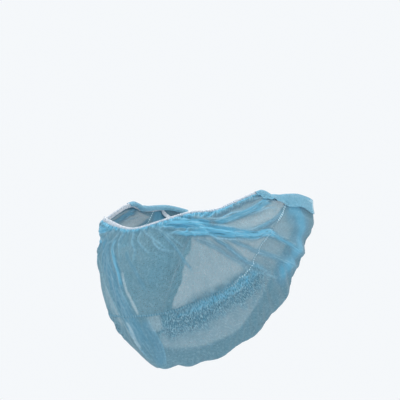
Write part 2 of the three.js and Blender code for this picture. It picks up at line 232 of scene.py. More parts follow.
# Folds that the pull of the elastic lays into the cloth. Each runs through points given as
# (along, down). Height is that of its crest, and width how far its gentle side reaches. Side
# is 1 where the gentle side is on the right hand of the path as seen from outside, -1 where it
# is on the left hand, and 0 for both.
BOTTOM_FOLD = (0.48, 2.02), (0.58, 2.35), (0.73, 2.73), (0.8, 3.13), (0.73, 3.5), (0.48, 3.9)
FOLDS = (
    # name, path, height mm, width mm, side, on how many sides of the face
    ("rope, upper strand", ((2.3, 0.22), (2.9, 0.47), (3.25, 0.65), (3.98, 0.96), (4.85, 1.25),
     (5.6, 1.72)), 2.3, 1.9, -1, 2),
    ("rope, middle strand", ((2.18, 0.36), (2.6, 0.49), (3.03, 0.71), (3.55, 0.96), (4.2, 1.17),
     (5.35, 1.65), (5.8, 2.15), (5.95, 2.6)), 2.7, 2.0, 0, 2),
    ("rope, lower strand", ((1.9, 0.4), (2.4, 0.58), (2.73, 0.78), (3.1, 0.94), (3.85, 1.15),
     (4.6, 1.38), (5.45, 1.75)), 2.2, 1.9, 1, 2),
    ("rope over the ear", ((5.45, 1.66), (5.93, 2.38), (5.97, 2.72), (6.1, 3.5), (6.15, 4.1)),
     2.2, 2.4, -1, 2),
    ("low edge of the bunch", ((1.1, 0.28), (1.42, 0.36), (1.8, 0.43), (2.28, 0.52), (2.6, 0.57)),
     2.0, 2.0, -1, 2),
    ("low diagonal", ((2.5, 0.6), (2.85, 0.97), (3.28, 1.32), (3.83, 1.67), (4.43, 2.13),
     (4.78, 2.73)), 1.9, 2.2, -1, 2),
    ("middle diagonal", ((3.03, 0.92), (3.65, 1.25), (4.48, 1.7), (5.1, 2.35), (5.38, 2.87),
     (5.8, 3.9)), 1.7, 2.4, -1, 2),
    ("faint diagonal", ((1.83, 0.48), (2.33, 0.77), (2.65, 1.0), (3.0, 1.3), (3.62, 1.63),
     (4.3, 2.2)), 1.1, 2.2, 1, 2),
    ("second jaw fold", ((3.73, 1.77), (4.35, 2.2), (4.65, 2.6), (4.9, 3.05)), 1.4, 2.6, -1, 2),
    ("branch to the temple", ((2.6, 0.2), (3.1, 0.3), (3.6, 0.28), (4.4, 0.4), (5.2, 0.38),
     (6.0, 0.44)), 1.9, 2.2, 1, 2),
    ("branch, lower strand", ((2.95, 0.36), (3.3, 0.46), (4.0, 0.5), (4.9, 0.62), (5.9, 0.78),
     (6.9, 1.1)), 1.9, 2.0, -1, 2),
    ("window, lower lid", ((3.6, 0.86), (4.23, 0.99), (5.22, 1.23), (6.22, 1.56), (7.0, 1.85)),
     1.7, 2.2, 1, 2),
    ("nose pleat", ((0.0, 0.03), (0.12, 0.16), (0.12, 0.35), (0.24, 0.55), (0.22, 0.68),
     (0.2, 0.85)), 1.5, 1.5, 1, 1),
    ("second nose pleat", ((0.5, 0.05), (0.36, 0.18), (0.3, 0.3), (0.43, 0.47), (0.62, 0.65)),
     1.6, 1.4, -1, 1),
    ("third nose pleat", ((-0.4, 0.05), (-0.3, 0.16), (-0.35, 0.32), (-0.3, 0.5)),
     1.4, 1.6, 1, 1),
    ("bow over the lip", ((0.6, 0.08), (0.73, 0.33), (0.8, 0.5), (0.93, 0.62), (1.1, 0.67),
     (1.35, 0.72)), 1.5, 1.8, -1, 1),
    ("strand to a knot, first", ((1.0, 0.03), (1.33, 0.1), (1.67, 0.19), (2.18, 0.29),
     (2.65, 0.34)), 1.3, 1.2, -1, 2),
    ("strand to a knot, second", ((1.35, 0.02), (1.73, 0.1), (2.1, 0.2), (2.63, 0.38)),
     1.3, 1.1, 1, 2),
    ("strand to a knot, third", ((1.75, 0.02), (2.12, 0.1), (2.53, 0.23), (2.83, 0.37)),
     1.3, 1.1, -1, 2),
    ("strand to a knot, fourth", ((0.8, 0.12), (1.2, 0.2), (1.7, 0.3), (2.4, 0.42)),
     1.4, 1.3, 1, 2),
    ("long cheek crease", ((0.92, 0.2), (1.2, 0.48), (1.42, 0.75), (1.55, 1.0), (1.75, 1.25)),
     1.8, 1.8, -1, 2),
    ("short cheek crease", ((1.1, 0.25), (1.38, 0.5), (1.58, 0.68)), 1.3, 1.6, -1, 2),
    ("front fold", ((-0.45, 0.1), (-0.6, 0.43), (-0.45, 0.68), (-0.27, 0.93), (-0.18, 1.2),
     (-0.1, 1.5), (0.1, 1.9)), 1.8, 2.0, 1, 1),
    ("far fan, first", ((-0.38, 0.05), (-0.62, 0.25), (-0.85, 0.43), (-1.15, 0.72)),
     1.4, 1.5, 1, 2),
    ("far fan, second", ((-0.55, 0.04), (-0.92, 0.17), (-1.3, 0.4)), 1.2, 1.4, 1, 2),
    ("far fan, third", ((-0.33, 0.15), (-0.38, 0.3), (-0.3, 0.5), (-0.2, 0.75)),
     1.3, 1.4, -1, 1),
    ("chin fold", ((-0.2, 2.15), (-0.1, 2.55), (-0.05, 3.1), (0.08, 3.52)), 1.6, 2.0, 1, 1),
    ("bottom fold", BOTTOM_FOLD, 0.8, 2.2, 1, 1),
    ("edge of the drape", ((-1.5, 0.15), (-1.58, 0.45), (-1.45, 0.7), (-1.02, 0.9), (-0.82, 1.18),
     (-0.67, 1.4), (-0.42, 1.73), (-0.3, 2.2), (-0.15, 2.7), (0.05, 3.3)), 1.1, 2.4, -1, 1),
    ("middle of the drape", ((-0.85, 0.15), (-0.85, 0.5), (-0.68, 0.85), (-0.42, 1.2), (-0.25, 1.6),
     (-0.02, 2.1), (0.15, 2.6), (0.3, 3.2), (0.3, 3.8)), 0.8, 2.6, 1, 1),
)
PATH_STEPS = 25  # points that a path is read at
CREST_ROUND = 0.35 * MM  # the crests are rounded over this length
STEEP = 0.45  # the steep side of a fold reaches this share of its gentle side
BLUNT = 0.45  # below 1, so that a fold keeps its height almost to its ends
CREASE = 0.75 * MM  # the cloth is creased this far to both sides of a crest
HELD_FLAT = 3 * MM  # the elastic holds folds down this far below itself

# Where the cloth lies in several layers or, where that is negative, thinner than elsewhere. The
# two reaches are how far that goes on the right and on the left hand of the path. Soft is the
# share of the reach over which it fades, and strands is how strongly it is drawn into strands.
# The ends are over what share of the path it fades in, and how wide it is at the end against
# the start.
USUAL_ENDS = 0.14, 1.0
BUNCHES = (
    # name, path, layers, reach right and left mm, soft, strands, sides of the face, ends
    ("knot", ((0.0, 0.0), (0.6, 0.02), (1.2, 0.1), (1.8, 0.21), (2.3, 0.31), (2.95, 0.48)),
     1.4, 5.5, 6.0, 0.6, 1.0, 2, 0.6, 0.8),
    ("rope by the knot", ((1.5, 0.27), (2.0, 0.37), (2.6, 0.52), (3.1, 0.74), (3.8, 1.0)),
     1.3, 4.2, 4.2, 0.45, 1.0, 2, 0.4, 1.25),
    ("low edge of the bunch", ((0.9, 0.2), (1.4, 0.34), (1.9, 0.44), (2.5, 0.58), (3.0, 0.8)),
     1.0, 2.4, 2.2, 0.6, 0.9, 2, 0.4, 1.3),
    ("rope", ((2.9, 0.66), (3.5, 0.9), (4.2, 1.14), (5.2, 1.52), (5.75, 1.95), (5.95, 2.5)),
     1.2, 4.4, 4.0, 0.6, 1.0, 2, 0.2, 1.1),
    ("rope over the ear", ((4.9, 1.42), (5.4, 1.66), (5.8, 2.1), (5.95, 2.93), (6.18, 4.1)),
     0.9, 3.0, 1.8, 0.7, 0.7, 2),
    ("branch to the temple", ((2.5, 0.28), (3.1, 0.38), (3.8, 0.42), (4.8, 0.48), (5.6, 0.5),
     (6.4, 0.46), (7.2, 0.6)), 0.95, 2.6, 2.2, 0.5, 0.9, 2, 0.14, 1.9),
    ("window, lower lid", ((3.9, 0.97), (5.1, 1.2), (6.05, 1.57), (6.8, 1.85), (7.4, 1.9)),
     0.7, 3.8, 2.0, 0.7, 0.8, 2, 0.14, 1.2),
    ("low diagonal", ((2.48, 0.62), (2.85, 0.97), (3.28, 1.32), (3.83, 1.67), (4.43, 2.13),
     (5.0, 3.0)), 0.6, 1.6, 2.8, 0.8, 0.7, 2, 0.14, 1.4),
    ("middle diagonal", ((2.93, 0.88), (3.48, 1.15), (4.18, 1.5), (5.03, 2.18), (5.4, 2.98),
     (5.8, 3.9)), 0.55, 1.6, 2.4, 0.8, 0.6, 2, 0.14, 1.4),
    ("faint diagonal", ((1.83, 0.5), (2.33, 0.77), (3.0, 1.3), (3.62, 1.63), (4.3, 2.2)),
     0.35, 2.0, 3.2, 0.9, 0.5, 2, 0.14, 1.4),
    ("long cheek crease", ((0.95, 0.2), (1.3, 0.6), (1.55, 1.0), (1.75, 1.22)),
     0.5, 1.0, 1.6, 0.6, 0.5, 2),
    ("blue band by the mouth", ((-0.45, 0.15), (-0.6, 0.43), (-0.45, 0.68), (-0.27, 0.95),
     (-0.18, 1.2), (-0.1, 1.5)), 0.9, 3.4, 3.0, 0.7, 0.7, 1),
    ("drape on the far side", ((-1.0, 0.05), (-1.0, 0.45), (-0.78, 0.8), (-0.5, 1.12),
     (-0.32, 1.45), (-0.1, 1.9), (0.08, 2.4), (0.25, 3.0), (0.3, 3.9)),
     0.75, 7.5, 8.5, 0.5, 0.35, 1),
    ("faint band by the mouth", ((-0.1, 0.45), (0.05, 0.7), (0.23, 0.95), (0.38, 1.22),
     (0.55, 1.55)), 0.5, 2.6, 2.0, 0.8, 0.3, 1),
    ("lap at the bottom", BOTTOM_FOLD, 0.7, 12.0, 0.5, 0.6, 0.15, 1),
    ("wash behind the weld", ((7.6, 1.6), (7.4, 2.6), (6.8, 3.1), (6.0, 3.3), (5.2, 3.1),
     (4.6, 2.7)), 1.1, 18.0, 14.0, 0.9, 0.0, 2),
    ("top of the crinkled band", ((0.95, 2.16), (1.4, 2.14), (2.0, 2.12), (2.8, 2.1), (3.5, 2.12),
     (4.2, 2.25), (4.8, 2.5)), 0.55, 5.5, 9.0, 0.95, 0.0, 2, 0.3, 1.3),
    ("clear slit by the mouth", ((-0.13, 0.93), (-0.07, 1.18), (0.0, 1.4), (0.1, 1.58),
     (0.2, 1.8), (0.28, 2.05)), -1.0, 1.6, 1.3, 0.5, 0.0, 1),
    ("clear slit by the chin", ((-0.2, 2.1), (-0.08, 2.4), (-0.04, 2.85), (0.0, 3.1)),
     -0.55, 1.4, 1.2, 0.6, 0.0, 1),
    ("clear lens on the far jaw", ((-0.78, 1.25), (-0.62, 1.62), (-0.48, 1.88), (-0.42, 2.4)),
     -0.5, 8.0, 0.8, 0.9, 0.0, 1),
    ("thin patch by the chin", ((0.7, 1.98), (0.75, 2.2), (0.85, 2.55)),
     -0.5, 9.0, 3.0, 0.6, 0.0, 1),
    ("thin edge of the far cheek", ((-2.4, 0.0), (-2.36, 0.2), (-2.3, 0.45)),
     -0.6, 3.5, 3.5, 0.9, 0.0, 1),
    ("window", ((3.6, 0.68), (4.5, 0.83), (5.6, 1.05), (6.6, 1.4)),
     -0.15, 3.4, 3.4, 0.8, 0.0, 2),
)


def path_distance(path):
    """For each point of the grid: its distance from a path, the share run, and the side."""
    path = smooth_line(np.array(path, float), np.linspace(0, len(path) - 1, PATH_STEPS))
    line = bag(path[:, 0], path[:, 1])
    near = np.full(along.shape, np.inf)
    share = np.zeros(along.shape)
    side = np.zeros(along.shape)
    for k, (start, end) in enumerate(zip(line[:-1], line[1:])):
        piece = end - start
        t = np.clip(((smooth - start) @ piece) / (piece @ piece), 0, 1)
        off = smooth - start - t[..., None] * piece
        distance = norm(off)
        closer = distance < near
        near[closer] = distance[closer]
        share[closer] = ((k + t) / (len(line) - 1))[closer]
        side[closer] = np.sign((off * np.cross(piece, normal)).sum(-1))[closer]
    return near, np.clip(share, 0, 1), side


def on_sides(count, path, side):
    """The path itself and, where it is on both sides of the face, its mirror image."""
    mirrored = tuple((-a, d) for a, d in path)
    return ((path, side), (mirrored, -side))[:count]


lift = np.zeros(along.shape)
creased = np.zeros(along.shape)
for _, path, height, width, side, count in FOLDS:
    for line, its_side in on_sides(count, path, side):
        near, share, way = path_distance(line)
        reach = width * MM * np.where((its_side == 0) | (way * its_side > 0), 1.0, STEEP)
        taper = np.sin(np.pi * share) ** BLUNT
        rounded = np.hypot(near, CREST_ROUND) - CREST_ROUND
        lift = np.hypot(lift, height * MM * taper * np.exp(-rounded / reach))
        creased = np.maximum(creased, 0.5 * height * taper * hill(near, CREASE))
lift *= smoothstep(to_lip, 0, HELD_FLAT)


def lengths_of(points):
    """How far each point of the grid is from the bag's middle line, and from the lip."""
    across = running(points, 1)
    return across - across[:, COLUMNS // 2, None], running(points, 0)


# In a bunch, and in the gathers at the lip, the cloth lies in strands. strand_at tells where
# in its bunch a point is: across the strands, and along them.
GATHERED = 5 * MM  # how far below the lip the gathers hold it in strands
DOUBLED = 6.5 * MM  # and in layers
GATHERED_LESS, DOUBLED_LESS = 0.8 * MM, 2.5 * MM  # how much less far that is in front
strand_at = np.stack([*lengths_of(smooth), np.zeros(along.shape)], -1)
in_front = 1 - smoothstep(off_middle, 0.6, 1.1)
past_mouth = 1 - 0.4 * smoothstep(off_middle, 2.8, 4)
bunched = np.exp(-((to_lip / (GATHERED - GATHERED_LESS * in_front)) ** 4)) * calm_at_ear
bunched *= past_mouth
layers = 0.8 * hill(to_lip, DOUBLED - DOUBLED_LESS * in_front) * calm_at_ear
layers = np.maximum(layers * past_mouth, 0.7 * creased)
laid = np.zeros(along.shape)
thin = np.zeros(along.shape)
for _, path, extra, right, left, soft, stranded, count, *ends in BUNCHES:
    fades_in, ends_at = ends or USUAL_ENDS
    for line, its_side in on_sides(count, path, 1):
        near, share, way = path_distance(line)
        reach = np.where(way * its_side > 0, right, left) * MM
        taper = within(share, 0, fades_in, 0.82, 1)
        narrowed = (0.5 + 0.5 * taper) * (1 + (ends_at - 1) * share)
        reach *= narrowed
        weight = taper * (1 - smoothstep(near, (1 - soft) * reach, reach * (1 + 0.4 * soft)))
        if extra < 0:
            thin = np.maximum(thin, -extra * weight)
            continue
        layers = np.maximum(layers, extra * weight)
        weight *= stranded
        laid = np.maximum(laid, weight)
        length = norm(np.diff(bag(*np.array(line).T), axis=0)).sum()
        in_bunch = np.stack([near * way / narrowed, share * length, 0 * near], -1)
        strand_at = np.where((weight > bunched)[..., None], in_bunch, strand_at)
        bunched = np.maximum(bunched, weight)
STRAND_WIDTH, STRAND_HEIGHT, STRANDS = 1.7 * MM, 0.35 * MM, 400
heights = np.random.default_rng(11).normal(size=STRANDS)
strand_number = strand_at[..., 0] / STRAND_WIDTH
strands = np.interp(strand_number, np.arange(STRANDS) - STRANDS // 2, heights)
lift += STRAND_HEIGHT * strands * bunched * smoothstep(to_lip, 0, HELD_FLAT)

# The cloth swells out below the lip, and hangs in shallow scallops along the bottom fold.
PUFF, PUFF_RISE, PUFF_FADE = 2.5 * MM, 7 * MM, 30 * MM
puff = PUFF * calm_at_ear * (1 - np.exp(-to_lip / PUFF_RISE)) * np.exp(-to_lip / PUFF_FADE)
puff *= (down < WELD) * (1 - 0.5 * within(-along, 0.2, 1, 3, 4))
SCALLOP, SCALLOP_REACH, SCALLOPS = 2.2 * MM, 14 * MM, 7  # on each side
wave = 0.5 * np.sin(along / LAST * SCALLOPS * 2 * math.pi)
scallop = SCALLOP * wave * smoothstep(to_ear, 0.7, 1.8) * smoothstep(to_hem, 3 * MM, 12 * MM)
scallop *= hill(to_bottom, SCALLOP_REACH)

# On the right cheek it is drawn in twice, under the gathers and above the jaw.
DENTS = ((19, 5.5, 4.0), (42, 10, 2.4))  # below the lip, half height, depth, in millimetres
dent = sum(depth * MM * hill(to_lip / MM - at, half) for at, half, depth in DENTS)
dent *= within(-along, 1.0, 1.8, 2.8, 3.6)

# Under the folded-over ear flaps the cloth lies flat.
FLAP_REACH = 21 * MM
to_top = norm(smooth - bag(np.sign(along) * LAST, down))
under_flap = smoothstep(off_middle, 5.2, 6.0) * (1 - smoothstep(down, 3.7, 4.1))
under_flap *= 1 - smoothstep(np.minimum(to_lip, to_top), FLAP_REACH - 5 * MM, FLAP_REACH)
lift *= 1 - 0.85 * under_flap

# The elastic gathers the cloth's edge into small uneven pleats, doubled in a narrow frill. The
# frill's extra layers also paint each pleat's crest a deeper, brighter blue: a painted highlight in
# place of the pleats' own shading.
PLEAT = 0.9 * MM
PLEAT_COLUMNS = 2.3  # columns of the grid from one pleat to the next
PLEAT_FADE, FRILL = 4 * MM, 3.5 * MM
rng = np.random.default_rng(7)
pleat_at = np.cumsum(1 + 0.45 * rng.normal(size=COLUMNS + 1)) / PLEAT_COLUMNS
pleat_height = 0.55 + 0.45 * np.sin(pleat_at * 0.37 + 1) * np.sin(pleat_at * 0.23)
ripple = PLEAT * pleat_height * np.sin(pleat_at * 2 * math.pi) * calm_at_ear[0]
ripple = ripple * (0.25 + 0.75 * smoothstep(to_lip, 0, 2 * MM)) * np.exp(-to_lip / PLEAT_FADE)
ripple *= 1 - 0.85 * laid
frill = (0.5 + 0.5 * np.sin(pleat_at * 2 * math.pi)) ** 2 * hill(to_lip, FRILL)
# More opaque on the pleat crests, and a painted highlight there.
layers += 0.8 * frill * calm_at_ear * (1 - 0.7 * laid)
folded = smooth + (lift + puff + scallop + ripple - dent)[..., None] * normal

# Which way the small wrinkles run: straight down, but from the knots in the lip pleats out
# towards the ear on the cheeks.
KNOT = 2.2, 0.22
downward = unit(np.gradient(smooth, axis=0))
knots = bag(np.array([KNOT[0], -KNOT[0]]), np.full(2, KNOT[1]))
knot = np.where(along[..., None] > 0, knots[0], knots[1])
from_knot = smooth - knot
from_knot -= (from_knot * normal).sum(-1, keepdims=True) * normal
on_cheek = smoothstep(off_middle, 0.8, 1.8) * (1 - smoothstep(down, 1.9, 2.6))
flow = unit(downward * (1 - on_cheek)[..., None] + unit(from_knot) * on_cheek[..., None])

# How much wider the cloth is cut than the place that it fills, as a share, across the
# wrinkles. Most of it lies at the elastic, at the hem and round the knots.
HEM_FADE, KNOT_REACH = 9 * MM, 22 * MM
SPARE, AT_LIP, AT_HEM, AT_KNOT = 0.02, 0.30, 0.18, 0.16
spare = SPARE + AT_LIP * np.exp(-to_lip / PLEAT_FADE) + AT_HEM * np.exp(-to_hem / HEM_FADE)
spare += AT_KNOT * hill(norm(smooth - knot), KNOT_REACH)
spare *= calm_at_ear * 0.85 + 0.15

# Below the weld the cloth is crinkled in a broad band, up to the side of the chin. There it
# is cut larger in every direction.
CRINKLE_SOLID, CRINKLE_REACH = 3 * MM, 20 * MM  # from its middle line
CRINKLE_ABOVE = 8 * MM  # above the weld
CRINKLE_SPARE = 0.09
CRINKLED = (
    (0.45, 2.1), (0.85, 2.32), (1.3, 2.4), (1.8, 2.4), (2.4, 2.3), (2.9, 2.2), (3.6, 2.25),
    (4.35, 2.45), (5.1, 2.9),
)
RAGGED = 1.8 * MM  # how far its edges stray
ragged = blurred(rng.normal(size=along.shape), 8)
ragged *= RAGGED / ragged.std()
crinkle = np.zeros(along.shape)
for line, _ in on_sides(2, CRINKLED, 1):
    near, share, _ = path_distance(line)
    band = 1 - smoothstep(near + ragged, CRINKLE_SOLID, CRINKLE_REACH)
    band *= within(share, 0, 0.2, 0.8, 1)
    crinkle = np.maximum(crinkle, band)
crinkle *= np.where(down < WELD, hill(to_weld, CRINKLE_ABOVE), 1)


def neighbours(rows, columns):
    """Pairs of grid slices that touch no point twice, so that all of a slice moves at once."""
    span = max(rows, abs(columns))
    count = len(row_at) if rows else COLUMNS + 1
    whole, but_last, but_first = slice(None), slice(None, -1), slice(1, None)
    beside = {0: (whole, whole), 1: (but_last, but_first), -1: (but_first, but_last)}
    for start in range(2 * span):
        first = slice(start, count - span, 2 * span)
        second = slice(start + span, count, 2 * span)
        if rows:
            yield (first, beside[columns][0]), (second, beside[columns][1])
        else:
            yield (whole, first), (whole, second)


THREADS = (
    # rows apart, columns apart, stiffness
    (0, 1, 1.0), (1, 0, 1.0), (1, 1, 0.6), (1, -1, 0.6), (0, 2, 0.25), (2, 0, 0.25),
)


def threads():
    """Every thread of the cloth: its two ends, the length it was cut to, and its stiffness."""
    for rows, columns, stiffness in THREADS:
        for a, b in neighbours(rows, columns):
            step = folded[b] - folded[a]
            length = norm(step)
            way = unit(flow[a] + flow[b])
            across = 1 - ((step / length[..., None]) * way).sum(-1) ** 2
            grown = 1 + (spare[a] + spare[b]) / 2 * across
            grown = grown + CRINKLE_SPARE * (crinkle[a] + crinkle[b]) / 2
            yield a, b, length * grown, stiffness


# The cloth takes up its spare length in wrinkles: round after round each thread pulls or
# pushes its two ends towards its cut length, and the cloth is kept near its smooth folds.
ROUNDS = 220
DRAG = 0.9
INWARD = (0.3 + 1.2 * smoothstep(np.minimum(to_lip, to_hem), 3 * MM, 9 * MM)[..., None]) * MM
STANDS_OFF = (1.6 - 1.0 * under_flap[..., None]) * MM
HOLD = 0.012  # share of a point's sideways drift that is taken back each round
FIRST_DENTS = 0.45 * MM  # what the wrinkles start from

free = np.ones(along.shape)
free[0] = free[-1] = 0
free[:, 0] = free[:, -1] = 0
first_dents = blurred(rng.normal(size=along.shape), 2)
first_dents *= FIRST_DENTS / first_dents.std()
cloth = folded + (first_dents * free)[..., None] * normal
before = cloth.copy()
cut = list(threads())
for _ in range(ROUNDS):
    drift = (cloth - before) * DRAG * free[..., None]
    before = cloth.copy()
    cloth = cloth + drift
    for a, b, length, stiffness in cut:
        step = cloth[b] - cloth[a]
        now = np.sqrt((step * step).sum(-1))
        loose = free[a] + free[b]
        move = step * (stiffness * (now - length) / (now * np.maximum(loose, 1)))[..., None]
        cloth[a] += move * free[a][..., None]
        cloth[b] -= move * free[b][..., None]
    off = cloth - folded
    out = (off * normal).sum(-1, keepdims=True)
    kept = np.clip(out, -INWARD, STANDS_OFF)
    cloth += ((kept - out) * normal - HOLD * (off - out * normal)) * free[..., None]

# Cloth that stands on edge, or lies in a fold, has more layers in the line of sight.
crossed = np.cross(np.gradient(cloth, axis=0), np.gradient(cloth, axis=1))
slope = np.abs((unit(crossed) * normal).sum(-1))
MOST_CROSSED = 0.35  # the slope with the longest way through it
thickness = blurred(1 / np.clip(slope, MOST_CROSSED, 1), 1) - 1 + layers

# Just above the weld the shade between the crinkles shows.
SHADED = 3 * MM
shade = hill(to_weld - SHADED + ragged, SHADED) * (down < WELD)
shade *= within(off_middle, 0.5, 1.2, 3.9, 4.6)
finish_values = {
    "layers": thickness, "thin": thin, "crinkle": crinkle, "bunched": bunched, "shade": shade,
    "creased": np.minimum(creased, 1) * (1 - bunched),
}


# ----------------------------------------
# The two panels of the bag, parted at the jaw weld. Each is one sheet of spunbond, thin
# enough to see through where it lies single, of fine fibres pressed together at small points.
# ----------------------------------------
CLOTH = 0.3 * MM


def mesh_piece(name, points, faces, lengths=None):
    """A smooth mesh. The lengths of its points, where they are stated, go into a UV map."""
    mesh = bpy.data.meshes.new(name)
    mesh.from_pydata(points.reshape(-1, 3).tolist(), [], faces)
    if lengths is not None:
        corners = np.zeros(len(mesh.loops), np.int32)
        mesh.loops.foreach_get("vertex_index", corners)
        uv = mesh.uv_layers.new(name="cloth")
        uv.data.foreach_set("uv", lengths.reshape(-1, 2)[corners].ravel().astype(np.float32))
    piece = bpy.data.objects.new(name, mesh)
    bpy.context.collection.objects.link(piece)
    mesh.shade_smooth()
    return piece


def numbered(points):
    """The number of each point in a grid of points."""
    return np.arange(points[..., 0].size).reshape(points.shape[:2])


def grid_piece(name, points, lengths):
    """A mesh over a grid of points."""
    index = numbered(points)
    quads = np.stack([index[:-1, :-1], index[1:, :-1], index[1:, 1:], index[:-1, 1:]], -1)
    return mesh_piece(name, points, quads.reshape(-1, 4).tolist(), lengths)


def thicken(piece, offset):
    """Gives a sheet the thickness of the cloth."""
    bpy.ops.object.select_all(action="DESELECT")
    piece.select_set(True)
    bpy.context.view_layer.objects.active = piece
    modifier = piece.modifiers.new("thickness", "SOLIDIFY")
    modifier.thickness = CLOTH
    modifier.offset = offset
    bpy.ops.object.modifier_apply(modifier=modifier.name)


def operator(operation, swapped=False):
    def applied(self, other):
        return self.math(operation, *((other, self) if swapped else (self, other)))

    return applied


class Signal:
    """One output of a node. The operators on it add Math nodes, so finishes are expressions."""

    __add__ = __radd__ = operator("ADD")
    __sub__, __rsub__ = operator("SUBTRACT"), operator("SUBTRACT", swapped=True)
    __mul__ = __rmul__ = operator("MULTIPLY")
    __rpow__ = operator("POWER", swapped=True)

    def __init__(self, finish, socket):
        self.finish = finish
        self.socket = socket

    def math(self, operation, *values):
        node = self.finish.tree.nodes.new("ShaderNodeMath")
        node.operation = operation
        for slot, value in zip(node.inputs, values):
            self.finish.feed(slot, value)
        return Signal(self.finish, node.outputs[0])

    def between(self, low, high):
        """0 below low, 1 above high and smooth between them."""
        kind = {"interpolation_type": "SMOOTHSTEP"}
        return self.finish.node("MapRange", kind, Value=self, From_Min=low, From_Max=high)


class Finish:
    """A material, with one method that adds a node and one that links or sets a socket."""

    def __init__(self, name):
        self.material = bpy.data.materials.new(name)
        self.material.use_nodes = True
        self.tree = self.material.node_tree
        self.shader = self.tree.nodes["Principled BSDF"]

    def feed(self, slot, value):
        if isinstance(value, Signal):
            self.tree.links.new(value.socket, slot)
        else:
            slot.default_value = value

    def node(self, kind, settings=None, output=0, **sockets):
        made = self.tree.nodes.new("ShaderNode" + kind)
        for key, value in (settings or {}).items():
            setattr(made, key, value)
        for key, value in sockets.items():
            self.feed(made.inputs[key.replace("_", " ")], value)
        return Signal(self, made.outputs[output])

    def noise(self, place, scale, detail=2.0):
        return self.node("TexNoise", Vector=place, Scale=scale, Detail=detail)

    def strokes(self, place, across, down, turn=0.0, detail=2.0):
        """Noise in long strokes, down the cloth. Another turn gives other strokes."""
        turned = (0.0, 0.0, math.radians(turn))
        place = self.node("Mapping", Vector=place, Scale=(across, down, 1.0), Rotation=turned)
        return self.noise(place, 1.0, detail)

    def mix(self, factor, first, second):
        made = self.tree.nodes.new("ShaderNodeMix")
        made.data_type = "RGBA"
        for slot, value in zip((0, 6, 7), (factor, first, second)):
            self.feed(made.inputs[slot], value)
        return Signal(self, made.outputs[2])

    def bump(self, height, distance, strength=1.0):
        return self.node("Bump", Height=height, Distance=distance, Strength=strength)

    def set(self, **sockets):
        for key, value in sockets.items():
            self.feed(self.shader.inputs[key.replace("_", " ")], value)


SHEER = (0.15, 0.33, 0.42, 1)  # one layer of the cloth
JAW_SHEER = (0.13, 0.30, 0.39, 1)  # the same on the lower panel
MIDDLE = (0.11, 0.29, 0.41, 1)  # nearly two
DEEP = (0.11, 0.43, 0.64, 1)  # several layers lying in a fold
PALE = (0.44, 0.65, 0.74, 1)  # where the light catches loose fibres
FOLDED = (0.10, 0.29, 0.41, 1)  # the body of the crinkles and strands, where they are thin
TUFTED = (0.14, 0.47, 0.68, 1)  # and where they are thick
LOW_CREST_HIGHLIGHT = (0.36, 0.58, 0.68, 1)  # painted highlight on their crests, where they are thin
CREST_HIGHLIGHT = (0.32, 0.60, 0.76, 1)  # and where they are thick
SHADE = (0.04, 0.16, 0.24, 1)  # between them
CLEAR = (0.60, 0.77, 0.84, 1)  # where light comes through a single layer


